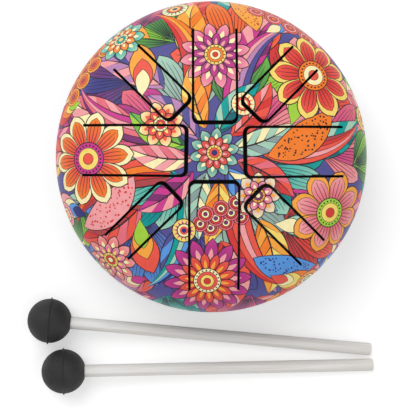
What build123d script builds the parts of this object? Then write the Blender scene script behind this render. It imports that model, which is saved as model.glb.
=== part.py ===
"""Steel tongue drum: two pressed steel shells welded at the rim, with eight tongues cut in the
upper one, a sound hole and three feet in the lower one, and a pair of rubber-headed mallets.

Millimetres, +Z up. The origin is where the drum's axis meets the floor. The mallets lie on the
floor in front of the drum (-Y), heads to the left (-X).
"""

import os
from math import acos, atan2, cos, degrees, hypot, radians, sin, sqrt

from build123d import *

# ---- driving sizes ---------------------------------------------------------------------------
# shells
DRUM_DIAMETER = 200.0
SHELL_DEPTH = 50.0  # rim plane to pole, each shell
KNUCKLE_RADIUS = 38.0  # the tight curve that turns the crown down to the rim
STEEL = 1.5  # sheet thickness
FLOOR_GAP = 6.0  # floor to the lowest point of the lower shell

# rim weld
WELD_DEPTH = 0.9  # how far the groove is ground into the sheet
WELD_HALF_HEIGHT = 1.0
WELD_CROWN = 0.15  # how far the dressed bead stands proud

# tongue cuts
SIDE_CUT = 1.4
END_CUT = 2.4  # round the free end
ROOT_CLEARANCE = 0.06  # hairline where the tongue flexes
WIDE_CORNER = 3.8  # corner radius, on the centre line of the cut
NARROW_CORNER = 4.4

# On the centre line of each cut: direction in degrees, how far the tongue sits to the left of
# the drum's axis as seen looking outward, width, rim to root, axis to tip, corner radius.
TONGUES = {
    "tongue_east": (1, 0.6, 30.4, 18.7, 20.1, WIDE_CORNER),
    "tongue_north_east": (46, 0.0, 21.0, 16.5, 35.0, NARROW_CORNER),
    "tongue_north": (90, -1.9, 26.7, 22.2, 18.9, WIDE_CORNER),
    "tongue_north_west": (135, -5.2, 21.1, 19.8, 32.1, NARROW_CORNER),
    "tongue_west": (179, -1.5, 30.7, 20.3, 15.5, WIDE_CORNER),
    "tongue_south_west": (224, 0.2, 20.4, 18.0, 33.1, NARROW_CORNER),
    "tongue_south": (270, 1.4, 30.3, 16.4, 17.0, WIDE_CORNER),
    "tongue_south_east": (316, 0.1, 20.8, 12.8, 35.8, NARROW_CORNER),
}

# sound hole and feet, in the lower shell
SOUND_HOLE_RADIUS = 30.0
FOOT_COUNT = 3
FOOT_FIRST_ANGLE = 90.0
FOOT_FROM_RIM = 40.0
FOOT_SEAT_RADIUS = 11.0  # where the foot meets the shell
FOOT_BASE_RADIUS = 9.0
FOOT_EDGE = 1.0
STEM_RADIUS = 3.0
STEM_CLEARANCE = 0.1
BARB_RADIUS = 4.8
BARB_TIP_RADIUS = 2.4
BARB_HEIGHT = 4.0  # above the sheet, at the stem
BARB_GAP = 0.1

# mallets
HEAD_RADIUS = 15.0
RIDGE_PROUD = 0.9  # moulding ridge on the head's widest circle
RIDGE_WIDTH = 2.0
RIDGE_TOP = 0.6  # width of its flat top
HEAD_RIM = 0.6  # flat rim left round the stick
SOCKET_DEPTH = 21.5
SOCKET_CLEARANCE = 0.05
STICK_RADIUS = 4.2
STICK_LENGTH = 218.5
STICK_EDGE = 0.8
# Centre of the head, to the right of the drum's axis and in front of its rim; direction of the
# stick in degrees; how far the stick is pushed into the head.
MALLETS = {
    "mallet_1": (-109.2, 9.4, -5.4, 12.0),
    "mallet_2": (-99.7, 43.7, 0.8, 21.0),
}

# ---- worked out from them --------------------------------------------------------------------
DRUM_RADIUS = DRUM_DIAMETER / 2
RIM_HEIGHT = FLOOR_GAP + SHELL_DEPTH
KNUCKLE_CENTRE = DRUM_RADIUS - KNUCKLE_RADIUS  # distance from the axis
CROWN_RADIUS = (KNUCKLE_CENTRE**2 + SHELL_DEPTH**2 - KNUCKLE_RADIUS**2) / (
    2 * (SHELL_DEPTH - KNUCKLE_RADIUS)
)
CROWN_CENTRE = SHELL_DEPTH - CROWN_RADIUS  # height above the rim plane
KNUCKLE_TURN = degrees(atan2(-CROWN_CENTRE, KNUCKLE_CENTRE))  # rim to crown

UPPER = Plane((0, 0, RIM_HEIGHT), x_dir=(1, 0, 0), z_dir=(0, -1, 0))  # sketch y is up
LOWER = Plane((0, 0, RIM_HEIGHT), x_dir=(1, 0, 0), z_dir=(0, 1, 0))  # sketch y is down


def dome_section(inset):
    """Half section of a filled dome on its rim plane, inset from the outer face of the sheet."""
    with BuildSketch(mode=Mode.PRIVATE) as section:
        with BuildLine():
            knuckle = CenterArc(
                (KNUCKLE_CENTRE, 0), KNUCKLE_RADIUS - inset, 0, KNUCKLE_TURN
            )
            crown = CenterArc(
                (0, CROWN_CENTRE), CROWN_RADIUS - inset, KNUCKLE_TURN, 90 - KNUCKLE_TURN
            )
            Line(crown @ 1, (0, 0))
            Line((0, 0), knuckle @ 0)
        make_face()
    return section.sketch


GROOVE_BOTTOM = (DRUM_RADIUS - WELD_DEPTH, 0)
GROOVE_TOP = (
    KNUCKLE_CENTRE + sqrt(KNUCKLE_RADIUS**2 - WELD_HALF_HEIGHT**2),
    WELD_HALF_HEIGHT,
)


def sheet_section():
    """Half section of one shell, with its rim ground back for the weld."""
    with BuildSketch(mode=Mode.PRIVATE) as section:
        add(dome_section(0))
        add(dome_section(STEEL), mode=Mode.SUBTRACT)
        with BuildLine():
            Polyline(
                GROOVE_BOTTOM,
                GROOVE_TOP,
                (DRUM_DIAMETER, WELD_HALF_HEIGHT),
                (DRUM_DIAMETER, 0),
                close=True,
            )
        make_face(mode=Mode.SUBTRACT)
    return section.sketch


def crown_height(radius, inset=0):
    """Height of the crown above the rim plane at this distance from the axis."""
    return CROWN_CENTRE + sqrt((CROWN_RADIUS - inset) ** 2 - radius**2)


def tongue_outline(name, beyond_side, beyond_tip, before_root):
    """Outline of one tongue, seen from above, past the centre line of its cut by these amounts."""
    direction, sideways, width, rim_to_root, tip, corner = TONGUES[name]
    along = (cos(radians(direction)), sin(radians(direction)), 0)
    inner = tip - beyond_tip
    outer = DRUM_RADIUS - rim_to_root - before_root
    place = Plane((0, 0, RIM_HEIGHT), x_dir=along, z_dir=(0, 0, 1))
    with BuildSketch(place, mode=Mode.PRIVATE) as outline:
        with Locations(((inner + outer) / 2, sideways)):
            Rectangle(outer - inner, width + 2 * beyond_side)
        fillet(outline.vertices().group_by(Axis.X)[0], corner + beyond_side)
    return outline.sketch


os.makedirs("parts", exist_ok=True)

# ---- upper shell -----------------------------------------------------------------------------
with BuildPart() as upper_sheet:
    with BuildSketch(UPPER):
        add(sheet_section())
    revolve(axis=Axis.Z)

with BuildPart() as top_shell:
    add(upper_sheet.part)
    for name in TONGUES:
        extrude(
            tongue_outline(name, SIDE_CUT / 2, END_CUT / 2, 0),
            amount=DRUM_DIAMETER,
            mode=Mode.SUBTRACT,
        )
top_shell.part.label = "top_shell"
export_step(top_shell.part, "parts/top_shell.step")

# ---- tongues: the sheet left inside each cut -------------------------------------------------
for name in TONGUES:
    with BuildPart() as tongue:
        add(upper_sheet.part)
        extrude(
            tongue_outline(name, -SIDE_CUT / 2, -END_CUT / 2, ROOT_CLEARANCE),
            amount=DRUM_DIAMETER,
            mode=Mode.INTERSECT,
        )
    tongue.part.label = name
    export_step(tongue.part, f"parts/{name}.step")

# ---- lower shell -----------------------------------------------------------------------------
foot_circle = DRUM_RADIUS - FOOT_FROM_RIM

with BuildPart() as bottom_shell:
    with BuildSketch(LOWER):
        add(sheet_section())
    revolve(axis=Axis.Z)
    with Locations((0, 0, RIM_HEIGHT)):
        Hole(SOUND_HOLE_RADIUS)
    with BuildSketch(Plane.XY):
        with PolarLocations(foot_circle, FOOT_COUNT, start_angle=FOOT_FIRST_ANGLE):
            Circle(STEM_RADIUS + STEM_CLEARANCE)
    extrude(amount=RIM_HEIGHT, mode=Mode.SUBTRACT)
bottom_shell.part.label = "bottom_shell"
export_step(bottom_shell.part, "parts/bottom_shell.step")

# ---- rim weld --------------------------------------------------------------------------------
with BuildPart() as seam_weld:
    with BuildSketch(UPPER):
        with BuildLine():
            below = (GROOVE_TOP[0], -WELD_HALF_HEIGHT)
            Polyline(below, GROOVE_BOTTOM, GROOVE_TOP)
            ThreePointArc(GROOVE_TOP, (DRUM_RADIUS + WELD_CROWN, 0), below)
        make_face()
    revolve(axis=Axis.Z)
seam_weld.part.label = "seam_weld"
export_step(seam_weld.part, "parts/seam_weld.step")

# ---- feet: moulded to the lower shell, each held by a barbed stem ----------------------------
with BuildPart() as lower_form:
    with BuildSketch(LOWER):
        add(dome_section(0))
    revolve(axis=Axis.Z)

with BuildPart() as cavity_form:
    with BuildSketch(LOWER):
        add(dome_section(STEEL + BARB_GAP))
    revolve(axis=Axis.Z)

angle = radians(FOOT_FIRST_ANGLE)
centre = (foot_circle * cos(angle), foot_circle * sin(angle))
barb_top = RIM_HEIGHT - crown_height(foot_circle, STEEL) + BARB_HEIGHT
foot_top = RIM_HEIGHT - crown_height(foot_circle + FOOT_SEAT_RADIUS) + STEEL

with BuildPart() as barb:
    with Locations((*centre, barb_top - BARB_HEIGHT)):
        Cone(
            BARB_RADIUS,
            BARB_TIP_RADIUS,
            BARB_HEIGHT,
            align=(Align.CENTER, Align.CENTER, Align.MIN),
        )
        Cylinder(
            BARB_RADIUS,
            BARB_RADIUS,
            align=(Align.CENTER, Align.CENTER, Align.MAX),
        )
    add(cavity_form.part, mode=Mode.INTERSECT)

with BuildPart() as first_foot:
    with Locations((*centre, 0)):
        Cone(
            FOOT_BASE_RADIUS,
            FOOT_SEAT_RADIUS,
            foot_top,
            align=(Align.CENTER, Align.CENTER, Align.MIN),
        )
    chamfer(first_foot.faces().sort_by(Axis.Z)[0].edges(), FOOT_EDGE)
    add(lower_form.part, mode=Mode.SUBTRACT)
    with Locations((*centre, FLOOR_GAP)):
        Cylinder(
            STEM_RADIUS,
            barb_top - BARB_HEIGHT / 2 - FLOOR_GAP,
            align=(Align.CENTER, Align.CENTER, Align.MIN),
        )
    add(barb.part)

for number in range(FOOT_COUNT):
    with BuildPart() as foot:
        with Locations(Location((0, 0, 0), (0, 0, number * 360 / FOOT_COUNT))):
            add(first_foot.part)
    foot.part.label = f"foot_{number + 1}"
    export_step(foot.part, f"parts/foot_{number + 1}.step")

# ---- mallets: each rests on its head's ridge and on the far end of its stick ------------------
ridge_radius = HEAD_RADIUS + RIDGE_PROUD
head_face_radius = STICK_RADIUS + HEAD_RIM
head_face = sqrt(HEAD_RADIUS**2 - head_face_radius**2)  # from the head's centre

for name, (right, in_front, heading, pushed_in) in MALLETS.items():
    stick_start = head_face - pushed_in
    stick_end = stick_start + STICK_LENGTH
    # the stick slopes down until the rounded edge of its end meets the floor
    rise = ridge_radius - STICK_RADIUS + STICK_EDGE
    run = stick_end - STICK_EDGE
    slope = acos(STICK_EDGE / hypot(rise, run)) - atan2(run, rise)
    rest_height = ridge_radius * cos(slope) + RIDGE_TOP / 2 * sin(slope)
    head_centre = (right, -DRUM_RADIUS - in_front, rest_height)
    along = (
        cos(radians(heading)) * cos(slope),
        sin(radians(heading)) * cos(slope),
        -sin(slope),
    )
    across = (sin(radians(heading)), -cos(radians(heading)), 0)
    section = Plane(head_centre, x_dir=along, z_dir=across)  # sketch x is along the stick
    axis = Axis(head_centre, along)

    with BuildPart() as head:
        with BuildSketch(section):
            Circle(HEAD_RADIUS)
            with BuildLine():
                Polyline(
                    (-RIDGE_WIDTH / 2, HEAD_RADIUS - RIDGE_PROUD),
                    (-RIDGE_TOP / 2, ridge_radius),
                    (RIDGE_TOP / 2, ridge_radius),
                    (RIDGE_WIDTH / 2, HEAD_RADIUS - RIDGE_PROUD),
                    close=True,
                )
            make_face()
            with Locations((head_face, 0)):
                Rectangle(
                    HEAD_RADIUS,
                    2 * HEAD_RADIUS,
                    align=(Align.MIN, Align.CENTER),
                    mode=Mode.SUBTRACT,
                )
                Rectangle(
                    SOCKET_DEPTH,
                    2 * (STICK_RADIUS + SOCKET_CLEARANCE),
                    align=(Align.MAX, Align.CENTER),
                    mode=Mode.SUBTRACT,
                )
            Rectangle(
                3 * HEAD_RADIUS,
                2 * HEAD_RADIUS,
                align=(Align.CENTER, Align.MAX),
                mode=Mode.SUBTRACT,
            )
        revolve(axis=axis)
    head.part.label = f"{name}_head"
    export_step(head.part, f"parts/{name}_head.step")

    with BuildPart() as stick:
        with BuildSketch(section) as half:
            with Locations((stick_start, 0)):
                Rectangle(STICK_LENGTH, STICK_RADIUS, align=(Align.MIN, Align.MIN))
            far_corner = half.vertices().group_by(Axis.Y)[-1].sort_by(Axis.X)[-1]
            fillet(far_corner, STICK_EDGE)
        revolve(axis=axis)
    stick.part.label = f"{name}_stick"
    export_step(stick.part, f"parts/{name}_stick.step")

    print(f"{name}: slope {degrees(slope):.2f} degrees, head centre {head_centre[2]:.2f} mm up")
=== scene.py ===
"""A small steel tongue drum with a printed shell, and its two mallets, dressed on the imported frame.

Sizes are in millimetres, as the drum is made; every mesh is turned into metres as it is built.
"""

import random
from math import acos, asin, atan2, cos, hypot, log, pi, radians, sin, sqrt

import bmesh
import bpy
import numpy as np
from mathutils import Matrix, Vector
from mathutils.geometry import delaunay_2d_cdt


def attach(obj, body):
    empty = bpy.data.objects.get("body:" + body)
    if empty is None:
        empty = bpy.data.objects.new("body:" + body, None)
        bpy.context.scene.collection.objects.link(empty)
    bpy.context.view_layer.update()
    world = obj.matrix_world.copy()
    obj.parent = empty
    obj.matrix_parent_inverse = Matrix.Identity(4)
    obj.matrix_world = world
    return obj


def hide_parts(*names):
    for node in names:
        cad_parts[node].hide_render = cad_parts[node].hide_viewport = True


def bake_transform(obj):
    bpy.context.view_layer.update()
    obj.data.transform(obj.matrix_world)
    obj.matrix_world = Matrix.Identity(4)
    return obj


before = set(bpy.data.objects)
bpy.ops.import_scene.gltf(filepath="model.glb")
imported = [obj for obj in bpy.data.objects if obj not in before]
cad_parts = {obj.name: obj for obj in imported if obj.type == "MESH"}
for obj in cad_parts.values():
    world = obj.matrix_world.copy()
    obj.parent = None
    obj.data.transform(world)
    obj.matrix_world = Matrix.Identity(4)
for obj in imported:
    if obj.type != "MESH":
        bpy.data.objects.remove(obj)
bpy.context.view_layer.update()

MM = 0.001

# ---- the drum's sizes ----
DRUM_RADIUS = 100.0
SHELL_DEPTH = 50.0
KNUCKLE_RADIUS = 38.0
STEEL = 1.5
RIM_HEIGHT = 56.0
KNUCKLE_CENTRE = DRUM_RADIUS - KNUCKLE_RADIUS
CROWN_RADIUS = (KNUCKLE_CENTRE**2 + SHELL_DEPTH**2 - KNUCKLE_RADIUS**2) / (
    2 * (SHELL_DEPTH - KNUCKLE_RADIUS)
)
CROWN_CENTRE = SHELL_DEPTH - CROWN_RADIUS
CROWN_LEAN = atan2(KNUCKLE_CENTRE, -CROWN_CENTRE)  # how far the sheet leans where it turns down
CROWN_RUN = CROWN_RADIUS * CROWN_LEAN  # along the sheet, from the pole
RIM_RUN = CROWN_RUN + KNUCKLE_RADIUS * (pi / 2 - CROWN_LEAN)

SIDE_CUT = 1.4
END_CUT = 2.4
SOFT_EDGE = 0.3  # the paint rounds over the edge of each cut
SOFT_LEAN = 0.8  # how much its normals lean out there
WIDE, WIDE_CORNER, NARROW_CORNER = 25.0, 3.8, 4.4  # a wide tongue's corners are tighter
# direction, to the left looking outward, width, rim to root, axis to tip
TONGUES = {
    "east": (1, 0.6, 30.4, 18.7, 20.1),
    "north_east": (46, 0.0, 21.0, 16.5, 35.0),
    "north": (90, -1.9, 26.7, 22.2, 18.9),
    "north_west": (135, -5.2, 21.1, 19.8, 32.1),
    "west": (179, -1.5, 30.7, 20.3, 15.5),
    "south_west": (224, 0.2, 20.4, 18.0, 33.1),
    "south": (270, 1.4, 30.3, 16.4, 17.0),
    "south_east": (316, 0.1, 20.8, 12.8, 35.8),
}

SOUND_HOLE_RADIUS = 30.0
FOOT_COUNT = 3
FOOT_FIRST_ANGLE = 90.0
FOOT_CIRCLE = 60.0
WELD_CROWN = 0.15
WELD_RIPPLES = 300
RIPPLE_SIZE = (0.55, 1.9, 1.0)  # out, along and up, from its middle

HEAD_RADIUS = 15.0
RIDGE_PROUD = 0.9
RIDGE_TOP = 0.6
HEAD_RIM = 0.6
STICK_RADIUS = 4.2
STICK_LENGTH = 218.5
STICK_EDGE = 0.8
# head to the right of the axis and in front of the rim, heading of the stick, how far it is in
MALLETS = {
    "mallet_1": (-109.2, 9.4, -5.4, 12.0),
    "mallet_2": (-99.7, 43.7, 0.8, 21.0),
}

# ---- how finely the meshes are divided ----
RIM_STEPS = 180
SIDE_STEPS = 25  # along the side of a tongue
CORNER_STEPS = 8
PRINT_PITCH = 3.0  # between the points that carry the curve of the printed face
INSIDE_PITCH = 5.0  # and of the bare inside
ROW_SHARE = 0.866  # of the pitch, from one row of those points to the next
SLOT, SHELL = -2, -1  # what a triangle of the sheet belongs to, if not to a tongue

# ---- paints of the print, as they look ----
INK = (0.20, 0.15, 0.16)
CORAL = (0.93, 0.35, 0.29)
RED = (0.85, 0.23, 0.22)
BRICK = (0.69, 0.28, 0.30)
ORANGE = (0.96, 0.50, 0.17)
AMBER = (0.98, 0.66, 0.26)
YELLOW = (0.98, 0.86, 0.44)
CREAM = (0.99, 0.94, 0.72)
PINK = (0.96, 0.64, 0.65)
ROSE = (0.91, 0.44, 0.50)
MAGENTA = (0.80, 0.24, 0.56)
PLUM = (0.50, 0.20, 0.44)
LILAC = (0.74, 0.53, 0.71)
INDIGO = (0.33, 0.32, 0.58)
NAVY = (0.19, 0.21, 0.48)
TEAL = (0.02, 0.63, 0.61)
DEEP_TEAL = (0.08, 0.41, 0.46)
MINT = (0.66, 0.82, 0.73)
DUSTY = (0.55, 0.63, 0.62)
SKY = (0.36, 0.60, 0.88)
LEAF = (0.43, 0.72, 0.29)
LIME = (0.64, 0.82, 0.26)
FOREST = (0.19, 0.36, 0.30)
BARE = (0.02, 0.02, 0.02, 1)  # the black inside and the cut edges

LINE = 0.64  # width of the drawn outlines

# forms of petals: how far along it is widest, and how pointed it is
PLAIN_FORM = (0.6, 0.8)
FLOWER_FORM = (0.66, 0.62)
FLOWER_CORE_FORM = (0.64, 0.66)
FAN_FORM = (0.66, 0.7)
LEAF_FORM = (0.45, 0.85)
MIDRIB_FORM = (0.3, 0.6)
PLUME_FORM = (0.6, 0.85)
SPECKLED_FORM = (0.5, 0.8)

SHAPES = []  # the outlines of the print with their paints, each laid over the ones before
rnd = random.Random(11)


# ---- drawing the print: flat shapes, each laid over the ones before ----
def evenly(start, end, steps):
    """Numbers from start to end, both ends with them."""
    return [start + (end - start) * i / steps for i in range(steps + 1)]


def turns_left(points):
    """Whether an outline runs counter-clockwise."""
    turns = zip(points, points[1:] + points[:1])
    return sum(a[0] * b[1] - b[0] * a[1] for a, b in turns) > 0


def at(centre, radius, angle):
    return (centre[0] + radius * cos(angle), centre[1] + radius * sin(angle))


def turned(points, root, turn, bend=0.0):
    """Points of a shape drawn along +x from (0, 0), bent, turned and moved to its root."""
    c, s = cos(turn), sin(turn)
    out = []
    for x, y in points:
        if bend:
            a = bend * x
            x, y = sin(a) / bend - y * sin(a), (1 - cos(a)) / bend + y * cos(a)
        out.append((root[0] + c * x - s * y, root[1] + s * x + c * y))
    return out


def lay(points, paint, root=(0, 0), turn=0.0, bend=0.0):
    """paint is a colour, or (low, high, start, end) for one that changes from start to end."""
    points = turned(points, root, turn, bend)
    SHAPES.append((points if turns_left(points) else points[::-1], paint))


def half_width(s, width, form):
    """Half the width of a petal at s, from 0 at its root to 1 at its tip."""
    belly, point = form
    return width / 2 * max(0.0, sin(pi * s ** (log(0.5) / log(belly)))) ** point


def petal(length, width, form=PLAIN_FORM, steps=9, grow=0.0):
    """Outline of a petal along +x, from its root at (0, 0), grown all round."""
    span, wide = length + 2 * grow, width + 2 * grow
    side = [(span * s - grow, half_width(s, wide, form)) for s in evenly(0, 1, steps)]
    return side + [(x, -y) for x, y in reversed(side) if y > 1e-6]


def inked_petal(place, paint, length, width, form=PLAIN_FORM, steps=9, line=LINE):
    """A petal on a larger one in ink; place is its root, the way it points and how it bends."""
    lay(petal(length, width, form, steps, line), INK, *place)
    lay(petal(length, width, form, steps), paint, *place)


def circle(centre, radius, steps=None):
    steps = steps or max(8, int(6 + radius * 2.0))
    return [at(centre, radius, a) for a in evenly(0, 2 * pi, steps)[:-1]]


def veins(root, turn, length, width, form, count):
    """Thin tapering lines that fan through a petal from near its root."""
    steps = 6
    for k in range(count):
        share = (k - (count - 1) / 2) / count * 1.6  # of the half width
        near = 0.10 + 0.12 * abs(share)
        reach = 0.92 - 0.20 * abs(share)
        upper, lower = [], []
        for i in range(steps + 1):
            s = near + (reach - near) * i / steps
            y = share * half_width(s, width, form)
            thick = LINE * 0.38 * (1.15 - 0.6 * i / steps)
            upper.append((length * s, y + thick))
            lower.append((length * s, y - thick))
        lay(lower + upper[::-1], INK, root, turn)


def dotted_eye(centre, radius, paints):
    """Discs one in the other, each with its outline, and a ring of dots on the widest."""
    for i, paint in enumerate(paints):
        size = radius * (1 - i / len(paints))
        lay(circle(centre, size + LINE * (0.9 if i == 0 else 0.5)), INK)
        lay(circle(centre, size), paint)
    for spot in circle(centre, radius * (1 - 0.5 / len(paints)), int(radius * 1.8) + 4):
        lay(circle(spot, radius * 0.055 + 0.12, 6), INK)


def blossom(centre, turn, size, count, border, fill, eye):
    """A flower of bordered petals with fine lines in them, round an eye of discs."""
    width = 2 * pi * size * 0.60 / count * 1.12
    length = size * 0.88
    core = (length * 0.86, width * 0.72, FLOWER_CORE_FORM)
    for i in range(count):
        a = turn + 2 * pi * i / count
        place = (at(centre, size * 0.12, a), a)
        inked_petal(place, border, length, width, FLOWER_FORM, 11)
        paint = (*fill, at(centre, size * 0.35, a), at(centre, size * 0.85, a))
        inked_petal(place, paint, *core, 10, LINE * 0.5)
        veins(*place, *core, 3)
    dotted_eye(centre, size * 0.34, eye)


def rosette(centre, turn, size, count, outer, inner, eye):
    """Two rings of pointed petals round a beaded eye."""
    for ring, (low, high, core) in enumerate((outer, inner)):
        reach = size * (1 - 0.34 * ring)
        start = size * (0.28 - 0.10 * ring)
        length = reach - start
        width = 2 * pi * reach * 0.62 / count
        a0 = turn + pi / count * ring
        for i in range(count):
            a = a0 + 2 * pi * i / count
            root = at(centre, start, a)
            inked_petal((root, a), (low, high, root, at(centre, reach, a)), length, width)
            lay(petal(length * 0.70, width * 0.40, steps=7), core, root, a)
    dotted_eye(centre, size * 0.30, eye)


def leaf(root, turn, length, width, bend, paints):
    """A leaf with a midrib; on each side, the bands between its veins take two of the paints."""
    bands, lean = 6, 0.20
    place = (root, turn, bend)
    lay(petal(length, width, LEAF_FORM, 12, LINE), INK, *place)
    for side, pair in ((1, paints[:2]), (-1, paints[2:])):
        for i in range(bands + 1):
            near = max(0.0, (i - 0.6) / bands * 0.86)
            far = (i + 0.4) / bands * 0.86 if i < bands else 0.98
            first = min(1.0, near + lean) if i else 0.02
            last = min(1.0, far + lean) if i < bands else 1.0
            slant = evenly(first, last, 3)
            edge = [(length * s, side * half_width(s, width, LEAF_FORM)) for s in slant]
            lay([(length * near, 0), *edge, (length * far, 0)], pair[i % 2], *place)
            if 0 < i < bands:
                x, y = edge[0]
                rib = [(length * (near - 0.006), 0), (length * near + LINE * 0.9, 0)]
                lay([*rib, (x + 0.1, y * 0.97)], INK, *place)
    lay(petal(length * 0.96, LINE * 1.6, MIDRIB_FORM), INK, *place)


def fan(root, turn, spread, count, length, width, paints):
    """Broad lined petals that spread from one root, the middle one on top."""
    for i in sorted(range(count), key=lambda i: -abs(i - (count - 1) / 2)):
        share = i / (count - 1) - 0.5
        a = turn + radians(spread) * share
        reach = length * (1 - 0.9 * share * share)
        paint = (*paints[i % len(paints)], root, at(root, reach, a))
        inked_petal((root, a), paint, reach, width, FAN_FORM, 12)
        veins(root, a, reach, width, FAN_FORM, 5)


def plume(root, turn, length, width, paints):
    """Petals nested inside each other from one root, like the eye of a feather."""
    place = (root, turn, 0.012)
    size, steps, line = 1.0, 12, LINE
    for paint in paints:
        shape = (length * size, width * size, PLUME_FORM)
        lay(petal(*shape, steps, line), INK, *place)
        lay(petal(*shape, 11), paint, *place)
        size, steps, line = size * 0.72, 10, LINE * 0.7


def ribbon(root, turn, length, width, bend, lanes):
    """A tapering ribbon of lanes, each its own paint."""

    def band(low, high, paint):
        below, above = [], []
        for s in evenly(0, 1, 16):
            w = width * sin(pi * min(1.0, 0.03 + s) ** 0.55) ** 0.8
            below.append((length * s, w * (low - 0.5)))
            above.append((length * s, w * (high - 0.5)))
        lay(below + above[::-1], paint, root, turn, bend)

    grow = LINE / width
    band(-grow, 1 + grow, INK)
    for i, paint in enumerate(lanes):
        band(i / len(lanes) + grow * 0.35, (i + 1) / len(lanes) - grow * 0.35, paint)


def scallops(centre, turn, pitch, rows, across, paints):
    """Overlapping rows of ringed discs, the back row first."""
    for row in range(rows):
        count = across + row % 2
        for k in range(count):
            x = (k - (count - 1) / 2) * pitch
            y = (rows / 2 - row) * pitch * 0.46
            here = turned([(x, y)], centre, turn)[0]
            for i, paint in enumerate(paints):
                radius = pitch / 2 * (1 - i / len(paints))
                lay(circle(here, radius + LINE * 0.3), INK)
                lay(circle(here, radius - LINE * 0.3), paint)


def sunburst(centre, turn, radius, count, rays, face):
    """A disc with a ring of pointed rays."""
    lay(circle(centre, radius + LINE), INK)
    lay(circle(centre, radius), rays[0])
    half = pi / count
    for i in range(count):
        a = turn + 2 * half * i
        inner = radius * 0.5
        ray = [at(centre, inner, a - half), at(centre, radius, a), at(centre, inner, a + half)]
        lay(ray, rays[1])
    lay(circle(centre, radius * 0.56 + LINE), INK)
    for i, paint in enumerate(face):
        lay(circle(centre, radius * (0.56 - 0.17 * i)), paint)


def speckled(root, turn, length, width, bend, paint, dots):
    """A long petal strewn with dots."""
    place = (root, turn, bend)
    inked_petal(place, paint, length, width, SPECKLED_FORM, 14)
    for i in range(int(length * width / 14)):
        s = 0.12 + 0.76 * ((i * 0.618) % 1.0)
        reach = half_width(s, width, SPECKLED_FORM) - 1.6
        spot = (length * s, rnd.uniform(-reach, reach))
        size = rnd.uniform(0.45, 0.75)
        lay(circle(spot, size, 7), dots, *place)


LEAVES = {
    "coral": (CORAL, PINK, RED, CORAL),
    "brick": (ROSE, CORAL, BRICK, RED),
    "orange": (AMBER, YELLOW, ORANGE, AMBER),
    "teal": (TEAL, MINT, DEEP_TEAL, TEAL),
    "mint": (MINT, CREAM, DUSTY, MINT),
    "green": (LEAF, LIME, FOREST, LEAF),
    "magenta": (MAGENTA, PINK, PLUM, MAGENTA),
    "lilac": (LILAC, PINK, INDIGO, LILAC),
    "sky": (SKY, CREAM, INDIGO, SKY),
    "blush": (PINK, CREAM, ROSE, PINK),
}
WARM = ((RED, CORAL), (CORAL, PINK), (BRICK, RED))
GLOW = ((ORANGE, CORAL), (CORAL, ORANGE))
BLUSH = ((ROSE, PINK), (MAGENTA, ROSE))
LEAFY = ((FOREST, LEAF), (LEAF, LIME))
COOL = ((TEAL, MINT), (DEEP_TEAL, TEAL))
PALE = ((DUSTY, MINT), (MINT, DUSTY))
ROYAL = ((PLUM, MAGENTA), (MAGENTA, ROSE))
DUSK = ((NAVY, INDIGO), (INDIGO, PLUM))
SEA = ((INDIGO, SKY), (NAVY, SKY))

# where each motif is: its angle, its distance from the pole and the way it points, then its own
FANS = (
    (28, 62, 70, 120, 7, 50, 15, WARM),
    (76, 58, 106, 130, 7, 52, 15, GLOW),
    (133, 64, 160, 120, 7, 48, 15, DUSK),
    (172, 44, 214, 110, 7, 54, 14, BLUSH),
    (222, 58, 236, 130, 7, 52, 15, SEA),
    (262, 52, 296, 120, 7, 52, 15, DUSK),
    (315, 60, 328, 130, 7, 50, 15, WARM),
    (2, 66, 20, 100, 5, 48, 14, BLUSH),
    (108, 74, 130, 80, 5, 40, 13, LEAFY),
    (200, 92, 250, 80, 5, 34, 12, LEAFY),
    (286, 96, 250, 90, 5, 34, 12, ROYAL),
    (252, 98, 290, 90, 5, 34, 12, COOL),
    (118, 96, 96, 90, 5, 34, 12, ROYAL),
    (356, 92, 20, 80, 5, 36, 12, LEAFY),
    (118, 24, 118, 96, 5, 46, 16, PALE),
    (64, 26, 58, 90, 5, 44, 15, LEAFY),
    (158, 30, 156, 86, 5, 42, 15, ROYAL),
    (212, 24, 206, 92, 5, 46, 16, COOL),
    (298, 24, 300, 92, 5, 46, 16, PALE),
    (345, 28, 345, 84, 5, 46, 15, COOL),
    (22, 26, 24, 84, 5, 44, 15, BLUSH),
)
RIBBONS = (
    (12, 30, -22, 76, 16, 0.016, (CORAL, PINK, CORAL, RED, BRICK)),
    (57, 26, 97, 78, 15, -0.017, (INDIGO, LILAC, PINK, MAGENTA)),
    (110, 30, 76, 80, 17, 0.016, (ORANGE, AMBER, CORAL, RED)),
    (150, 28, 190, 76, 15, -0.017, (MAGENTA, PINK, ROSE, PLUM)),
    (205, 28, 171, 80, 17, 0.016, (CORAL, ORANGE, RED, BRICK)),
    (240, 30, 280, 72, 14, -0.017, (TEAL, MINT, SKY, NAVY)),
    (300, 30, 266, 78, 16, 0.016, (RED, CORAL, PINK, CORAL)),
)
SPECKLED = (
    (358, 34, 14, 52, 20, 0.014, ORANGE, INK),
    (196, 50, 243, 50, 19, -0.014, PINK, RED),
    (70, 84, 96, 40, 18, 0.014, AMBER, BRICK),
    (292, 70, 330, 46, 18, 0.014, SKY, NAVY),
)
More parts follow.
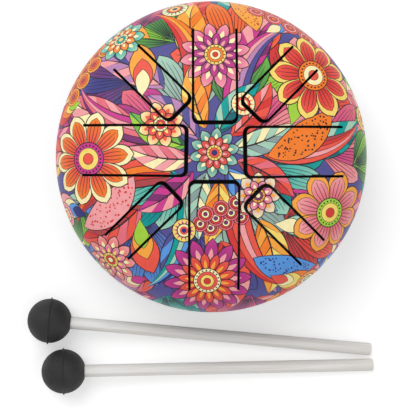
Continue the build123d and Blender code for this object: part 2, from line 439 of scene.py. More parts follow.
PLUMES = (
    (20, 52, 70, 36, 18, (ORANGE, YELLOW, LIME)),
    (66, 86, 30, 34, 18, (CORAL, PINK, SKY, CREAM)),
    (118, 84, 140, 36, 18, (MAGENTA, PINK, AMBER)),
    (142, 56, 80, 36, 17, (AMBER, CORAL, CREAM)),
    (158, 92, 190, 30, 16, (RED, ORANGE, YELLOW, LIME)),
    (206, 90, 160, 34, 18, (PINK, CREAM, SKY, NAVY)),
    (222, 60, 270, 36, 18, (CORAL, AMBER, LIME)),
    (242, 90, 200, 34, 18, (LILAC, PINK, CREAM, MAGENTA)),
    (296, 86, 330, 38, 19, (ORANGE, YELLOW, CREAM, CORAL)),
    (312, 58, 350, 34, 17, (TEAL, MINT, CREAM)),
)
SCALLOPS = (
    (62, 108, -28, 13, 4, 3, (CORAL, PINK, RED, ORANGE)),
    (146, 106, 56, 13, 4, 3, (AMBER, ORANGE, CORAL, BRICK)),
    (280, 36, 200, 10, 3, 3, (ROSE, RED, CREAM, PLUM)),
)
# round motifs: angle, distance, turn in radians, size, how many petals or rays, paints
BLOSSOMS = (
    (38, 82, 0.3, 29, 9, YELLOW, (RED, CORAL), (ORANGE, CREAM, CORAL)),
    (182, 78, 0.1, 30, 10, CREAM, (CORAL, ORANGE), (MAGENTA, YELLOW, CORAL)),
    (334, 84, 0.5, 27, 8, AMBER, (ROSE, PINK), (LIME, YELLOW, RED)),
)
ROSETTES = (
    (88, 62, 0.2, 22, 12,
     (MAGENTA, PINK, CREAM), (PLUM, MAGENTA, PINK), (YELLOW, ORANGE, CREAM, RED)),
    (268, 80, 0.1, 28, 14,
     (PLUM, MAGENTA, PINK), (RED, CORAL, AMBER), (CREAM, CORAL, YELLOW, RED)),
    (128, 98, 0.0, 17, 9, (TEAL, MINT, CREAM), (CORAL, AMBER, CREAM), (CREAM, TEAL, YELLOW)),
    (226, 96, 0.0, 18, 10, (CORAL, PINK, CREAM), (MAGENTA, PINK, YELLOW), (YELLOW, RED, CREAM)),
    (150, 36, 0.3, 14, 8, (ORANGE, CREAM, CORAL), (RED, CORAL, YELLOW), (CREAM, RED, AMBER)),
    (318, 38, 0.0, 14, 8, (LILAC, CREAM, AMBER), (MAGENTA, PINK, CREAM), (AMBER, PLUM, CREAM)),
)
SUNBURSTS = (
    (14, 112, 0.1, 9, 16, (YELLOW, CORAL), (CREAM, ORANGE, RED)),
    (104, 104, 0.2, 9, 16, (CREAM, TEAL), (CORAL, YELLOW, NAVY)),
    (202, 112, 0.3, 9, 16, (PINK, MAGENTA), (CREAM, CORAL, YELLOW)),
    (250, 50, 0.4, 7, 14, (YELLOW, MAGENTA), (CREAM, CORAL, NAVY)),
    (58, 36, 0.4, 7, 14, (CREAM, ORANGE), (CORAL, CREAM, RED)),
    (308, 112, 0.4, 9, 16, (AMBER, RED), (CREAM, TEAL, YELLOW)),
)


def ring_of_leaves(distance, length, width, sway, first, names):
    """Leaves all round, at two distances in turn, that sway by this much either way."""
    names = names.split()
    for k, name in enumerate(names):
        a = radians(first + 360 * k / len(names))
        root = at((0, 0), distance + 4 * (k % 2), a)
        turn = a + radians(rnd.uniform(-sway, sway))
        leaf(root, turn, length, width, rnd.choice((-0.014, 0.014)), LEAVES[name])


def lay_all(motif, rows, turn_unit=radians):
    """Lays a motif at each angle and distance, turned; angles are in degrees."""
    for angle, distance, turn, *rest in rows:
        motif(at((0, 0), distance, radians(angle)), turn_unit(turn), *rest)


def draw_print():
    """The whole print: leaves, fans, ribbons and flowers, spread over the opened-out dome."""
    lay(circle((0, 0), RIM_RUN + 2, 120), INDIGO)
    ring_of_leaves(
        101, 40, 18, 62, 4,
        "magenta coral green brick orange blush lilac coral teal magenta coral green blush coral "
        "orange brick sky mint coral magenta blush green coral orange lilac magenta brick teal",
    )
    ring_of_leaves(
        82, 44, 19, 36, 0,
        "coral green blush magenta coral teal coral orange sky green magenta coral mint blush "
        "green brick magenta coral lilac coral sky magenta",
    )
    lay_all(fan, FANS)
    ring_of_leaves(
        50, 54, 21, 30, 6,
        "teal coral magenta orange lilac blush green brick sky coral orange magenta",
    )
    lay_all(ribbon, RIBBONS)
    ring_of_leaves(
        12, 42, 15, 16, 14,
        "mint coral teal orange lilac green blush magenta mint orange sky brick",
    )
    lay_all(speckled, SPECKLED)
    lay_all(plume, PLUMES)
    lay_all(scallops, SCALLOPS)
    lay_all(blossom, BLOSSOMS, float)
    lay_all(rosette, ROSETTES, float)
    paints = ((DEEP_TEAL, MINT, CREAM), (BRICK, CORAL, PINK), (YELLOW, CORAL, NAVY))
    rosette((1.5, 0.5), 0.2, 15, 10, *paints)
    lay_all(sunburst, SUNBURSTS, float)


# ---- the pressed sheet ----
def dome(flat, inset=0.0):
    """Places and normals on the upper shell for points of the opened-out dome."""
    x, y = flat.T
    run, turn = np.hypot(x, y), np.arctan2(y, x)
    crown = run < CROWN_RUN
    lean = np.where(crown, run / CROWN_RADIUS, CROWN_LEAN + (run - CROWN_RUN) / KNUCKLE_RADIUS)
    reach = np.where(crown, CROWN_RADIUS, KNUCKLE_RADIUS) - inset
    out = np.where(crown, 0, KNUCKLE_CENTRE) + reach * np.sin(lean)
    up = np.where(crown, CROWN_CENTRE, 0) + reach * np.cos(lean) + RIM_HEIGHT
    normal = [np.sin(lean) * np.cos(turn), np.sin(lean) * np.sin(turn), np.cos(lean)]
    return np.stack([out * np.cos(turn), out * np.sin(turn), up], 1), np.stack(normal, 1)


def opened_out(plan, inset=0.0):
    """Points seen from above, brought onto the opened-out dome."""
    out = np.maximum(np.hypot(plan[:, 0], plan[:, 1]), 1e-9)
    crown = out < (CROWN_RADIUS - inset) * sin(CROWN_LEAN)
    lean = np.where(
        crown,
        np.arcsin(np.clip(out / (CROWN_RADIUS - inset), 0, 1)),
        np.arcsin(np.clip((out - KNUCKLE_CENTRE) / (KNUCKLE_RADIUS - inset), -1, 1)),
    )
    run = np.where(crown, CROWN_RADIUS * lean, CROWN_RUN + (lean - CROWN_LEAN) * KNUCKLE_RADIUS)
    return plan[:, :2] * (run / out)[:, None]


def tongue_sides(name, beyond_side, beyond_tip, past_root=0.0):
    """The line round one tongue from root to root, seen from above."""
    direction, sideways, width, rim_to_root, tip = TONGUES[name]
    half = width / 2 + beyond_side
    inner = tip - beyond_tip
    outer = DRUM_RADIUS - rim_to_root + past_root
    bend = (WIDE_CORNER if width > WIDE else NARROW_CORNER) + beyond_side
    line = [(x, half) for x in evenly(outer, inner + bend, SIDE_STEPS)[:-1]]
    for side, start in ((1, 90), (-1, 180)):
        for a in map(radians, evenly(start, start + 90, CORNER_STEPS)):
            line.append((inner + bend + bend * cos(a), side * (half - bend) + bend * sin(a)))
    for i in range(1, SIDE_STEPS + 1):
        line.append((inner + bend + (outer - inner - bend) * i / SIDE_STEPS, -half))
    return turned([(x, y + sideways) for x, y in line], (0, 0), radians(direction))


def slot_line(name, soft=0.0):
    """The opened-out outline of one slot, with this much of a soft edge round it."""
    window = tongue_sides(name, SIDE_CUT / 2 + soft, END_CUT / 2 + soft, soft)
    free = tongue_sides(name, -SIDE_CUT / 2 - soft, -END_CUT / 2 - soft, soft)
    return opened_out(np.array(window + free[::-1]))


def honeycomb(pitch):
    """Points that carry the curve of the sheet between the drawn lines."""
    rows = int(RIM_RUN / pitch / ROW_SHARE) + 1
    steps = range(-rows, rows + 1)
    points = [((i + 0.5 * (j % 2)) * pitch, j * pitch * ROW_SHARE) for j in steps for i in steps]
    return [p for p in points if hypot(*p) < RIM_RUN - 0.4 * pitch]


def cross(a, b):
    return a[..., 0] * b[..., 1] - a[..., 1] * b[..., 0]


def within(places, outline):
    """Which places lie in an outline: a line to the right crosses it an odd number of times."""
    x, y = places.T
    odd = np.zeros(len(places), bool)
    for (x0, y0), (x1, y1) in zip(outline, np.roll(outline, -1, 0)):
        if y0 != y1:
            odd ^= ((y0 > y) != (y1 > y)) & (x < x0 + (y - y0) / (y1 - y0) * (x1 - x0))
    return odd


def triangulated(points, edges, faces):
    """Triangles that keep the edges, and pairs of a triangle and a face that it lies in."""
    made = delaunay_2d_cdt([Vector(p) for p in points], edges, faces, 0, 1e-4, True)
    flat, triangles = np.array([tuple(p) for p in made[0]]), np.array(made[2])
    a, b, c = (flat[triangles[:, k]] for k in range(3))
    size = abs(cross(b - a, c - a)) / 2
    which = np.repeat(np.arange(len(triangles)), [len(found) for found in made[5]])
    face = np.array([f for found in made[5] for f in found])

    # a face whose fill ran out over its outline is filled again from the outline
    filled = np.bincount(face, size[which], len(faces))
    outlines = [np.array([points[v] for v in f]) for f in faces]
    due = np.array([abs(cross(o, np.roll(o, -1, 0)).sum()) / 2 for o in outlines])
    wrong = abs(filled - due) > 0.05 * due + 0.05
    which, face = which[~wrong[face]], face[~wrong[face]]
    for f in np.nonzero(wrong)[0]:
        mine = np.nonzero(within((a + b + c) / 3, outlines[f]))[0]
        which, face = np.append(which, mine), np.append(face, np.full(len(mine), f))
    return flat, triangles, which, face


def pressed_sheet(sheet):
    """Flat points, triangles, what each triangle belongs to, and which shape of the print."""
    points, edges = [], []

    def add(outline):
        start = len(points)
        points.extend(map(tuple, outline))
        return list(range(start, len(points)))

    count = len(TONGUES)
    free = [tongue_sides(name, -SIDE_CUT / 2, -END_CUT / 2) for name in TONGUES]
    faces = [add(slot_line(name)) for name in TONGUES]
    faces += [add(opened_out(np.array(line))) for line in free]
    faces += [add(outline) for outline, _ in sheet]
    rim = circle((0, 0), RIM_RUN, RIM_STEPS)
    for line in [slot_line(name, SOFT_EDGE) for name in TONGUES] + [rim]:
        numbers = add(line)
        edges += zip(numbers, numbers[1:] + numbers[:1])
    add(honeycomb(PRINT_PITCH))
    flat, triangles, which, face = triangulated(points, edges, faces)
    keep = within(flat[triangles].mean(1), rim)
    first = np.full(len(triangles), len(faces))
    last = np.full(len(triangles), -1)
    np.minimum.at(first, which, face)
    np.maximum.at(last, which, face)
    region = np.where(first < 2 * count, first - count, SHELL)
    region[first < count] = SLOT
    return flat, triangles[keep], region[keep], last[keep] - 2 * count


def sides(triangles):
    return np.concatenate([triangles[:, pair] for pair in ([0, 1], [1, 2], [2, 0])])


def unit(vectors):
    return vectors / np.maximum(np.linalg.norm(vectors, axis=1), 1e-9)[:, None]


def inner_face(flat, place, open_edge, at_rim):
    """The bare inside of a piece: its open edge carried straight down, with few points between.

    Gives triangles, places, normals, and the inner point under each point of the edge.
    """
    ring = np.unique(open_edge)
    is_rim = np.isin(ring, at_rim)
    below, _ = dome(opened_out(place[ring], STEEL), STEEL)
    below[:, :2] = place[ring, :2]
    below[is_rim] = dome(flat[ring[is_rim]], STEEL)[0]
    inner_flat = opened_out(below, STEEL)
    inner_flat[is_rim] = flat[ring[is_rim]]

    # the edge's loops, each counter-clockwise
    follow = dict(np.searchsorted(ring, open_edge).tolist())
    loops = []
    while follow:
        here, loop = min(follow), []
        while here in follow:
            loop.append(here)
            here = follow.pop(here)
        loops.append(loop if turns_left(inner_flat[loop].tolist()) else loop[::-1])
    points = [Vector(p) for p in [*inner_flat.tolist(), *honeycomb(INSIDE_PITCH)]]
    made = delaunay_2d_cdt(points, [], loops, 0, 1e-5, True)
    whole = {i for i, loop in enumerate(loops) if is_rim[loop[0]]}
    inner = [
        corners[::-1]
        for corners, found in zip(made[2], made[5])
        if found and (not whole or set(found) == whole)
    ]
    inner_place, inner_normal = dome(np.array([tuple(p) for p in made[0]]), STEEL)
    under = {v: i for i, found in enumerate(made[3]) for v in found if v < len(ring)}
    inner_place[list(under.values())] = below[list(under)]
    return np.array(inner), inner_place, inner_normal, {int(ring[v]): i for v, i in under.items()}


def print_colours(sheet, shape, corners):
    """The paint at each corner of the triangles, which may change along its shape."""
    paints = [p if isinstance(p[0], tuple) else (p, p, (0, 0), (1, 0)) for _, p in sheet]
    low, high, start, end = (np.array(column)[shape][:, None] for column in zip(*paints))
    share = ((corners - start) * (end - start)).sum(2) / ((end - start) ** 2).sum(2)
    share = np.clip(share, 0, 1)[..., None]
    look = low * (1 - share) + high * share
    return np.where(look <= 0.04045, look / 12.92, ((look + 0.055) / 1.055) ** 2.4)


def skin_piece(name, region, sheet, flat, triangles, regions, shapes):
    """One closed piece of the pressed sheet: printed outside, cut edges, bare inside."""
    mine = regions == region
    tris, size = triangles[mine], len(flat)

    def unmet(edges, against):
        """Which edges have none that runs the other way along the same line."""
        return ~np.isin(*(e[:, 0] * size + e[:, 1] for e in (edges, against[:, ::-1])))

    edge = sides(tris)
    open_edge = edge[unmet(edge, edge)]
    rim = (np.hypot(*flat[open_edge].T) > RIM_RUN * 0.9995).all(0)
    cut = unmet(open_edge, sides(triangles[~mine & (regions != SLOT)])) & ~rim

    flat = flat.copy()
    at_rim = np.unique(open_edge[rim])
    flat[at_rim] *= (RIM_RUN / np.hypot(*flat[at_rim].T))[:, None]
    place, normal = dome(flat)
    softened = np.zeros(size)
    softened[open_edge[cut]] = 1
    place[:, 2] -= 0.5 * SOFT_EDGE * softened

    # which way each point of the open edge looks, seen from above
    along = place[open_edge[:, 1], :2] - place[open_edge[:, 0], :2]
    looks = np.zeros((size, 3))
    np.add.at(looks[:, :2], open_edge.T, unit(np.stack([along[:, 1], -along[:, 0]], 1)))
    looks = unit(looks)
    outer_normal = unit(normal + looks * softened[:, None] * SOFT_LEAN)
    looks[at_rim] = (0, 0, -1)

    # one mesh: the outer points, then the inner points
    inner, inner_place, inner_normal, under = inner_face(flat, place, open_edge, at_rim)
    walls = [[a, size + under[a], size + under[b], b] for a, b in open_edge.tolist()]
    parts = (tris, np.array(walls), inner + size)
    used = np.unique(np.concatenate([part.ravel() for part in parts]))
    faces = [face for part in parts for face in np.searchsorted(used, part).tolist()]
    vertices = np.concatenate([place, inner_place])[used] * MM
    mesh = bpy.data.meshes.new(name)
    mesh.from_pydata(vertices.tolist(), [], faces)

    colours = np.full((len(mesh.loops), 4), BARE, np.float32)
    paints = print_colours(sheet, shapes[mine], flat[tris])
    colours[: 3 * len(tris), :3] = paints.reshape(-1, 3)
    mesh.attributes.new("print", "FLOAT_COLOR", "CORNER").data.foreach_set("color", colours.ravel())
    # 1 on the rounded cut edges, where the enamel is mixed towards near black
    cut_edge_darkening = np.append(softened, np.zeros(len(inner_place)))[used].astype(np.float32)
    mesh.attributes.new("rounding", "FLOAT", "POINT").data.foreach_set("value", cut_edge_darkening)

    mesh.materials.append(ENAMEL)
    mesh.materials.append(BLACK)
    index = (np.arange(len(mesh.polygons)) >= len(tris)).astype(np.int32)
    mesh.polygons.foreach_set("material_index", index)
    mesh.shade_smooth()
    wall_normal = np.repeat(looks[open_edge], 2, axis=1)
    split = (outer_normal[tris], wall_normal, -inner_normal[inner])
    mesh.normals_split_custom_set(np.concatenate([n.reshape(-1, 3) for n in split]).tolist())
    return added(name, mesh)


# ---- small helpers for objects and node trees ----
def added(name, data):
    made = bpy.data.objects.new(name, data)
    bpy.context.scene.collection.objects.link(made)
    return made


def node(kind, *values, tree=None, **named):
    """Adds a node to a tree, or to that of the sockets it takes.

    Values fill its sockets in order, past any None; a node stands for its first output. What is
    named is a socket if it begins with a capital, else a setting.
    """
    given = {i: v for i, v in enumerate(values) if v is not None}
    given |= {key.replace("_", " "): v for key, v in named.items() if key[0].isupper()}
    given = {k: v.outputs[0] if isinstance(v, bpy.types.Node) else v for k, v in given.items()}
    tree = tree or next(v.id_data for v in given.values() if hasattr(v, "id_data"))
    types = (family + kind for family in ("GeometryNode", "ShaderNode", "FunctionNode"))
    made = tree.nodes.new(next(name for name in types if hasattr(bpy.types, name)))
    for key, value in named.items():
        if key[0].islower():
            setattr(made, key, value)
    for key, value in given.items():
        if isinstance(value, bpy.types.NodeSocket):
            tree.links.new(value, made.inputs[key])
        else:
            made.inputs[key].default_value = value
    return made


def maths(operation, *values):
    return node("Math", *values, operation=operation).outputs[0]


def new_tree(name, **inputs):
    """A Geometry Nodes tree, and the sockets of its inputs."""
    tree = bpy.data.node_groups.new(name, "GeometryNodeTree")
    for label, kind in inputs.items():
        tree.interface.new_socket(label, in_out="INPUT", socket_type="NodeSocket" + kind)
    tree.interface.new_socket("Made", in_out="OUTPUT", socket_type="NodeSocketGeometry")
    return tree, tree.nodes.new("NodeGroupInput").outputs


def finished(tree, made, finish):
    """Ends a tree, as real, smooth geometry in its finish."""
    smooth = node("SetShadeSmooth", node("RealizeInstances", made))
    painted = node("SetMaterial", smooth, Material=finish)
    tree.links.new(painted.outputs[0], tree.nodes.new("NodeGroupOutput").inputs[0])
    return tree


def grown(name, tree, points=((0, 0, 0),), **values):
    """The plain mesh that a tree makes from these points, in millimetres, as a new piece."""
    seed = bpy.data.meshes.new(name + "_points")
    seed.from_pydata([[c * MM for c in p] for p in points], [], [])
    holder = added(name + "_points", seed)
    modifier = holder.modifiers.new("grow", "NODES")
    modifier.node_group = tree
    named = {s.name: s.identifier for s in tree.interface.items_tree if s.in_out == "INPUT"}
    for label, value in values.items():
        modifier[named[label]] = value
    ready = holder.evaluated_get(bpy.context.evaluated_depsgraph_get())
    mesh = bpy.data.meshes.new_from_object(ready)
    bpy.data.objects.remove(holder)
    mesh.name = name
    work = bmesh.new()
    work.from_mesh(mesh)
    bmesh.ops.remove_doubles(work, verts=work.verts, dist=1e-6)
    bmesh.ops.recalc_face_normals(work, faces=work.faces)
    work.to_mesh(mesh)
    work.free()
    return added(name, mesh)


def spinning_tree():
    """Spins a line of (radius, 0, height) points round the Z axis."""
    tree, start = new_tree("spun", Line="Geometry", Around="Int", Finish="Material")
    count = node("AttributeDomainSize", start["Line"]).outputs["Point Count"]
    grid = node("MeshGrid", 1.0, 1.0, maths("ADD", start["Around"], 1), count)
    here = node("InputPosition", tree=tree)
    share = node("SeparateXYZ", here).outputs
    turn = maths("MULTIPLY", maths("ADD", share[0], 0.5), 2 * pi)
    last = maths("SUBTRACT", count, 1)
    row = maths("ROUND", maths("MULTIPLY", maths("ADD", share[1], 0.5), last))
    found = node("SampleIndex", start["Line"], Value=here, Index=row, data_type="FLOAT_VECTOR")
    line = node("SeparateXYZ", found).outputs
    x = maths("MULTIPLY", line[0], maths("COSINE", turn))
    y = maths("MULTIPLY", line[0], maths("SINE", turn))
    moved = node("SetPosition", grid, Position=node("CombineXYZ", x, y, line[2]))
    merged = node("MergeByDistance", moved, Distance=2e-6)
    return finished(tree, merged, start["Finish"])


def weld_tree():
    """Overlapping ripples of a weld bead, one behind the other round the rim."""
    tree, start = new_tree(
        "weld", Points="Geometry", Ripples="Int", Ring="Float", Size="Vector", Finish="Material"
    )
    ring = node("MeshCircle", Vertices=start["Ripples"], Radius=start["Ring"])
    ball = node("MeshUVSphere", tree=tree, Segments=10, Rings=5)
    flat = node("SeparateXYZ", node("InputPosition", tree=tree)).outputs
    facing = node("CombineXYZ", Z=maths("ARCTAN2", flat[1], flat[0]))
    vary = node("RandomValue", None, None, 0.9, 1.0, tree=tree, Seed=7)
    size = node("VectorMath", start["Size"], Scale=vary.outputs[1], operation="SCALE")
    bead = node("InstanceOnPoints", ring, Instance=ball, Rotation=facing, Scale=size)
    return finished(tree, bead, start["Finish"])


def copies_tree():
    """The same solid again and again, evenly round the drum's axis."""
    tree, start = new_tree(
        "round_the_axis", Points="Geometry", Solid="Object", Copies="Int", Ring="Float",
        First="Float", Finish="Material",
    )
    ring = node("MeshCircle", Vertices=start["Copies"], Radius=start["Ring"])
    turned_ring = node("Transform", ring, Rotation=node("CombineXYZ", Z=start["First"]))
    solid = node("ObjectInfo", start["Solid"]).outputs["Geometry"]
    copies = node("InstanceOnPoints", turned_ring, Instance=solid)
    return finished(tree, copies, start["Finish"])


def rounded(corners, steps=5):
    """A line through (radius, height, rounding) corners, with each corner rounded off."""
    line = []
    for i, (r, h, bend) in enumerate(corners):
        if not bend:
            line.append((r, h))
            continue
        here = Vector((r, h))
        before, after = (Vector(corners[k][:2]) - here for k in (i - 1, i + 1))
        back = bend / max(0.02, np.tan(before.angle(after) / 2))
        back = min(back, before.length * 0.49, after.length * 0.49)
        one, two = here + before.normalized() * back, here + after.normalized() * back
        for t in evenly(0, 1, steps):
            line.append((one * (1 - t) ** 2 + here * 2 * t * (1 - t) + two * t * t)[:])
    return line


def spun(name, line, around, finish):
    """A piece spun round the Z axis from a line of (radius, height) points."""
    points = [(r, 0, h) for r, h in line]
    return grown(name, SPUN, points, Around=around, Finish=finish)


# ---- finishes: scales are per metre, relief in metres ----
def finish(name, colour, rough, shine=0.5):
    """A new material with its Principled shader, and the piece's own coordinates."""
    made = bpy.data.materials.new(name)
    made.use_nodes = True
    shader = made.node_tree.nodes["Principled BSDF"]
    shader.inputs["Base Color"].default_value = (*colour, 1)
    shader.inputs["Roughness"].default_value = rough
    shader.inputs["Specular IOR Level"].default_value = shine
    return made, shader, node("TexCoord", tree=made.node_tree).outputs["Object"]


def noise(spot, scale, detail=3.0, rough=0.5):
    return node("TexNoise", Vector=spot, Scale=scale, Detail=detail, Roughness=rough).outputs[0]


def between(value, low, high, to_low=0.0, to_high=1.0):
    return node("MapRange", value, low, high, to_low, to_high).outputs[0]


def mixed(share, one, two, how="MIX"):
    """Two colours mixed, each an output or three numbers."""
    one, two = ((*c, 1) if isinstance(c, tuple) else c for c in (one, two))
    skipped = [None] * 5  # the sockets for other kinds of value
    return node("Mix", share, *skipped, one, two, data_type="RGBA", blend_type=how).outputs[2]


def covered(shader, colour, rough, relief, strength, depth):
    """Gives a shader its colour, its roughness and its fine relief."""
    raised = node("Bump", Height=relief, Strength=strength, Distance=depth).outputs[0]
    for key, value in (("Base Color", colour), ("Roughness", rough), ("Normal", raised)):
        shader.id_data.links.new(value, shader.inputs[key])


def printed_enamel():
    """Inks under a satin lacquer, a little uneven, and near black at the rounded cut edges."""
    made, shader, spot = finish("printed_enamel", (0.8, 0.3, 0.2), 0.4, 0.20)
    tree = made.node_tree
    inks = node("Attribute", tree=tree, attribute_name="print").outputs["Color"]
    mottle = between(noise(spot, 260.0, 4.0, 0.6), 0.3, 0.7, 0.93, 1.05)
    uneven = mixed(1.0, inks, mottle, "MULTIPLY")
    edge = node("Attribute", tree=tree, attribute_name="rounding").outputs["Fac"]
    # the rounded cut edges are mixed towards near black
    cut_edge_darkening = mixed(maths("MULTIPLY", edge, 0.75), uneven, (0.03, 0.025, 0.025))
    gloss = between(noise(spot, 45.0), 0.3, 0.7, 0.36, 0.46)
    covered(shader, cut_edge_darkening, gloss, noise(spot, 700.0, 2.0), 0.05, 0.0004)
    return made


def black_enamel():
    """Satin black stove enamel with a fine orange peel."""
    made, shader, spot = finish("black_enamel", (0.016, 0.016, 0.018), 0.4)
    cloud = noise(spot, 60.0, 4.0)
    dusty = mixed(between(cloud, 0.45, 0.8), (0.014, 0.014, 0.016), (0.024, 0.023, 0.024))
    gloss = between(cloud, 0.3, 0.7, 0.34, 0.46)
    covered(shader, dusty, gloss, noise(spot, 850.0, 2.0), 0.12, 0.0004)
    return made


def black_rubber():
    """Matt moulded rubber with a fine grain and a little pale dust."""
    made, shader, spot = finish("black_rubber", (0.02, 0.019, 0.019), 0.7)
    dust = between(noise(spot, 420.0, 5.0, 0.7), 0.56, 0.78)
    shade = mixed(dust, (0.019, 0.018, 0.018), (0.042, 0.039, 0.038))
    matt = between(noise(spot, 90.0), 0.3, 0.7, 0.60, 0.78)
    grain = node("TexVoronoi", Vector=spot, Scale=1500.0).outputs[0]
    covered(shader, shade, matt, grain, 0.25, 0.0003)
    return made


def greyed_wood(name, start, along):
    """Pale grey-washed straight-grained wood, its grain along the stick."""
    made, shader, spot = finish(name, (0.7, 0.68, 0.64), 0.6)
    turn = along.to_track_quat("Z", "X").to_matrix().inverted()
    start = turn @ (start * MM)
    lined = node("Mapping", spot, Rotation=turn.to_euler(), Location=-start)
    x, y, z = node("SeparateXYZ", lined).outputs
    drawn = node("CombineXYZ", x, y, maths("MULTIPLY", z, 0.035))
    fibre = noise(drawn, 1500.0, 4.0, 0.65)
    streak = noise(drawn, 420.0, 3.0, 0.6)

    # year rings round a heart that lies beside the stick
    heart = node("CombineXYZ", maths("ADD", x, 0.009), y)
    length = node("VectorMath", heart, operation="LENGTH").outputs["Value"]
    years = maths("MULTIPLY", length, 5200.0)
    ring = maths("SINE", maths("ADD", years, maths("MULTIPLY", streak, 9.0)))

    base = mixed(between(streak, 0.35, 0.65), (0.76, 0.73, 0.69), (0.88, 0.865, 0.84))
    ringed = mixed(between(ring, -1.0, 1.0, 0.0, 0.28), base, (0.66, 0.62, 0.57))
    pored = mixed(between(fibre, 0.60, 0.72, 0.0, 0.5), ringed, (0.46, 0.42, 0.38))
    wash = between(noise(spot, 30.0), 0.4, 0.7, 0.0, 0.40)
    greyed = mixed(wash, pored, (0.82, 0.82, 0.82))
    covered(shader, greyed, between(fibre, 0.3, 0.7, 0.5, 0.68), fibre, 0.18, 0.0003)
    return made


# ---- the drum ----
ENAMEL = printed_enamel()
BLACK = black_enamel()
RUBBER = black_rubber()
SPUN = spinning_tree()


def printed_shell():
    """The upper shell and its eight tongues, cut from one printed sheet."""
    draw_print()
    shown = set(pressed_sheet(SHAPES)[3].tolist())
    sheet = [drawn for i, drawn in enumerate(SHAPES) if i in shown]
    parts = pressed_sheet(sheet)
    shell = skin_piece("printed_shell", SHELL, sheet, *parts)
    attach(shell, "drum")
    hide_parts("top_shell")
    for i, (name, (direction, sideways, _, rim_to_root, _)) in enumerate(TONGUES.items()):
        name = "tongue_" + name
        piece = skin_piece("printed_" + name, i, sheet, *parts)
        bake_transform(piece)
        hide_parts(name)


def lower_shell():
    """The lower shell, spun from its section, with a rounded lip at the sound hole."""
    crown_steps, knuckle_steps, lip_steps = 14, 26, 8
    half = STEEL / 2
    first = asin((SOUND_HOLE_RADIUS + half) / (CROWN_RADIUS - half))
    leans = evenly(first, CROWN_LEAN, crown_steps)[:-1]
    leans += evenly(CROWN_LEAN, pi / 2, knuckle_steps)
    line = []
    for inset, order in ((0, leans), (STEEL, leans[::-1])):
        for lean in order:
            crown = lean < CROWN_LEAN
            reach = (CROWN_RADIUS if crown else KNUCKLE_RADIUS) - inset
            out = reach * sin(lean) + (0 if crown else KNUCKLE_CENTRE)
            up = reach * cos(lean) + (CROWN_CENTRE if crown else 0)
            line.append((out, RIM_HEIGHT - up))
    reach = CROWN_RADIUS - half
    lip = Vector((reach * sin(first), RIM_HEIGHT - CROWN_CENTRE - reach * cos(first)))
    down, inward = Vector((sin(first), -cos(first))), Vector((-cos(first), -sin(first)))
    for a in evenly(0, pi, lip_steps)[1:-1]:
        line.append((lip + half * (inward * sin(a) - down * cos(a)))[:])
    line.append(line[0])
    shell = spun("lower_shell", line, 192, BLACK)
    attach(shell, "drum")
    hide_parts("bottom_shell")


def rim_weld():
    """The dressed weld bead: overlapping ripples over the seam."""
    size = tuple(s * MM for s in RIPPLE_SIZE)
    ring = (DRUM_RADIUS + WELD_CROWN - RIPPLE_SIZE[0]) * MM
    values = {"Ripples": WELD_RIPPLES, "Ring": ring, "Size": size, "Finish": BLACK}
    weld = grown("rim_weld", weld_tree(), **values)
    weld.data.transform(Matrix.Translation((0, 0, RIM_HEIGHT * MM)))
    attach(weld, "drum")
    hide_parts("seam_weld")


def feet():
    """Three moulded rubber feet, with a grooved base, pushed into the lower shell."""
    # from the axis: the recess in the base, its grooves, the side, the seat and the barbed stem
    line = [(0, 1.6), (2.6, 1.6), (3.0, 1.2), (3.2, 0.4)]
    line += rounded(
        [(3.2, 0.4, 0), (3.6, 0.0, 0.3), (5.6, 0.0, 0.1), (5.8, 0.5, 0.1), (6.4, 0.5, 0)]
    )[1:]
    line += rounded([(6.4, 0.5, 0), (6.6, 0.0, 0.1), (9.0, 0.0, 1.0), (9.45, 4.6, 0)])[1:]
    line += [(9.45, 5.2), (9.9, 5.6), (10.1, 9.0), (10.6, 14.0), (11.0, 22.0), (10.2, 22.4)]
    line += [(8.4, 22.4), (6.2, 22.4), (3.0, 15.2), (3.0, 16.3), (4.6, 16.3), (4.8, 16.6)]
    line += [(4.7, 17.4), (2.6, 20.2), (2.1, 20.7), (0, 20.7)]
    one = spun("one_foot", line, 48, RUBBER)
    turn = radians(FOOT_FIRST_ANGLE)
    made = grown(
        "rubber_feet", copies_tree(), Solid=one, Copies=FOOT_COUNT, Ring=FOOT_CIRCLE * MM,
        First=turn, Finish=RUBBER,
    )
    bpy.data.objects.remove(one)

    # all but the stem ends just inside the outer face of the shell that it sits on
    stem_reach, seat_depth = 5.5, 0.15
    step = 2 * pi / FOOT_COUNT
    for vertex in made.data.vertices:
        x, y, z = vertex.co / MM
        near = turn + step * round((atan2(y, x) - turn) / step)
        if hypot(x - FOOT_CIRCLE * cos(near), y - FOOT_CIRCLE * sin(near)) > stem_reach:
            face = RIM_HEIGHT - CROWN_CENTRE - sqrt(CROWN_RADIUS**2 - hypot(x, y) ** 2)
            vertex.co.z = min(z, face + seat_depth) * MM
    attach(made, "drum")
    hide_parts("foot_1", "foot_2", "foot_3")


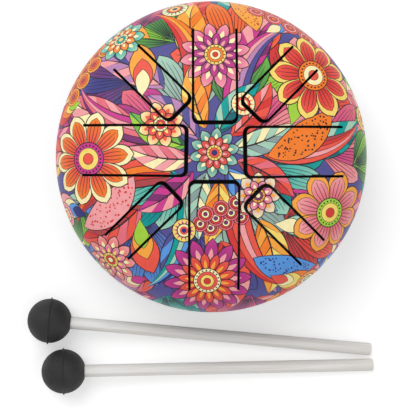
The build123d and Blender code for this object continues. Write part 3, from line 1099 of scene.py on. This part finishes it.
# ---- the mallets ----
def mallet(name):
    """A rubber ball with its moulding ridge on a wooden stick that slopes down to the floor."""
    right, in_front, heading, pushed_in = MALLETS[name]
    ridge = HEAD_RADIUS + RIDGE_PROUD
    face_radius = STICK_RADIUS + HEAD_RIM
    face = sqrt(HEAD_RADIUS**2 - face_radius**2)
    end = face - pushed_in + STICK_LENGTH
    rise, run = ridge - STICK_RADIUS + STICK_EDGE, end - STICK_EDGE
    slope = acos(STICK_EDGE / hypot(rise, run)) - atan2(run, rise)
    up = ridge * cos(slope) + RIDGE_TOP / 2 * sin(slope)
    centre = Vector((right, -DRUM_RADIUS - in_front, up))
    flat = Vector((cos(radians(heading)), sin(radians(heading)), 0))
    along = flat * cos(slope) - Vector((0, 0, sin(slope)))
    place = Matrix.Translation(centre * MM) @ along.to_track_quat("Z", "X").to_matrix().to_4x4()

    def round_part(start, end):
        return [(HEAD_RADIUS * cos(a), HEAD_RADIUS * sin(a)) for a in evenly(start, end, 24)]

    # the ball's outline from its far pole, over the ridge, to the face round the stick
    lip = 0.75 / HEAD_RADIUS
    ridge_half = ((0.02, 0.62), (0.12, 0.48), (0.6, 0.34), (0.84, 0.24), (0.9, 0.1))
    line = round_part(-pi / 2, -lip)
    line += [(HEAD_RADIUS + out, -up) for out, up in ridge_half]
    line += [(HEAD_RADIUS + out, up) for out, up in ridge_half[::-1]]
    line += round_part(lip, asin((face - 0.25) / HEAD_RADIUS))
    line += [(face_radius - 0.1, face - 0.04), (face_radius - 0.3, face)]
    line += [(STICK_RADIUS + 0.12, face), (STICK_RADIUS + 0.02, face - 0.1)]
    line += [(STICK_RADIUS + 0.02, face - 4), (0, face - 4)]
    head = spun(name + "_ball", line, 96, RUBBER)
    head.data.transform(place)
    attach(head, name)
    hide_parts(name + "_head")

    corners = [(0, face - 3.9, 0), (STICK_RADIUS - 0.5, face - 3.9, 0)]
    corners += [(STICK_RADIUS, face - 3.4, 0), (STICK_RADIUS, face + 40, 0.4)]
    corners += [(STICK_RADIUS, end - 40, 0.4), (STICK_RADIUS, end - 3, 0.4)]
    line = rounded([*corners, (STICK_RADIUS, end, STICK_EDGE), (1.6, end, 0.2), (0, end, 0)])
    stick = spun(name + "_dowel", line, 64, greyed_wood(name + "_wood", centre, along))
    stick.data.transform(place)
    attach(stick, name)
    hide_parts(name + "_stick")


# ---- floor, light and camera, in metres ----
PAINTED_SHADE = (0.035, 0.100)  # from the axis, between the painted shade and the pale floor
FLOOR_GLOW = 0.34
ROOM_LIGHT, ROOM_SEEN = 0.60, 1.0
AIM = (0, 0, 0.05)
EYE = (-0.0072, -0.0322, 0.826)


def stage():
    """A pale floor that shows white to the camera, keeps the drum's shadow and has painted shade
    under the drum.
    """
    far = 6.0
    mesh = bpy.data.meshes.new("floor")
    corners = [(-far, -far, 0), (far, -far, 0), (far, far, 0), (-far, far, 0)]
    mesh.from_pydata(corners, [], [(0, 1, 2, 3)])
    added("floor", mesh)
    made, shader, spot = finish("floor_with_painted_shade", (0.8, 0.8, 0.8), 0.9, 0.1)

    # painted shade under the drum: the floor's colour turns dark there and its glow fades, ending
    # inside the drum's outline
    away = node("VectorMath", spot, operation="LENGTH").outputs["Value"]
    bare = node("MapRange", away, *PAINTED_SHADE, interpolation_type="SMOOTHERSTEP").outputs[0]
    pale = mixed(bare, (0.05, 0.05, 0.05), (0.86, 0.86, 0.86))
    tree = made.node_tree
    tree.links.new(pale, shader.inputs["Base Color"])
    ray = node("LightPath", tree=tree).outputs
    seen = maths("MAXIMUM", ray["Is Camera Ray"], ray["Is Glossy Ray"])
    # the glow fades out into the painted shade under the drum
    lit = maths("MULTIPLY", seen, maths("MULTIPLY", bare, FLOOR_GLOW))
    both = node("AddShader", shader, node("Emission", Strength=lit))
    tree.links.new(both.outputs[0], tree.nodes["Material Output"].inputs["Surface"])
    mesh.materials.append(made)


def softbox(name, place, size, watts):
    """A round area light that faces the middle of the drum."""
    lamp = bpy.data.lights.new(name, "AREA")
    lamp.shape, lamp.size, lamp.energy = "DISK", size, watts
    holder = added(name, lamp)
    holder.location = place
    holder.rotation_euler = (Vector(AIM) - Vector(place)).to_track_quat("-Z", "Y").to_euler()


def light():
    """A white room that is dimmer as a light than as a backdrop, and two softboxes."""
    world = bpy.data.worlds.new("studio")
    bpy.context.scene.world = world
    world.use_nodes = True
    tree = world.node_tree
    background = tree.nodes["Background"].inputs
    background["Color"].default_value = (1, 1, 1, 1)
    ray = node("LightPath", tree=tree).outputs["Is Camera Ray"]
    strength = between(ray, 0.0, 1.0, ROOM_LIGHT, ROOM_SEEN)
    tree.links.new(strength, background["Strength"])
    softbox("key", (-0.45, 0.70, 1.30), 1.1, 9.5)
    softbox("fill", (0.80, -0.20, 1.20), 0.9, 2.0)


def camera():
    """Straight above, a little in front and to the left of the drum's axis."""
    lens = bpy.data.cameras.new("camera")
    lens.sensor_width, lens.lens = 36.0, 103.8
    lens.clip_start, lens.clip_end = 0.05, 20.0
    eye = added("camera", lens)
    eye.location = EYE
    bpy.context.scene.camera = eye
    bpy.context.scene.view_settings.view_transform = "Standard"


camera()
stage()
light()
printed_shell()
lower_shell()
rim_weld()
feet()
for name in MALLETS:
    mallet(name)
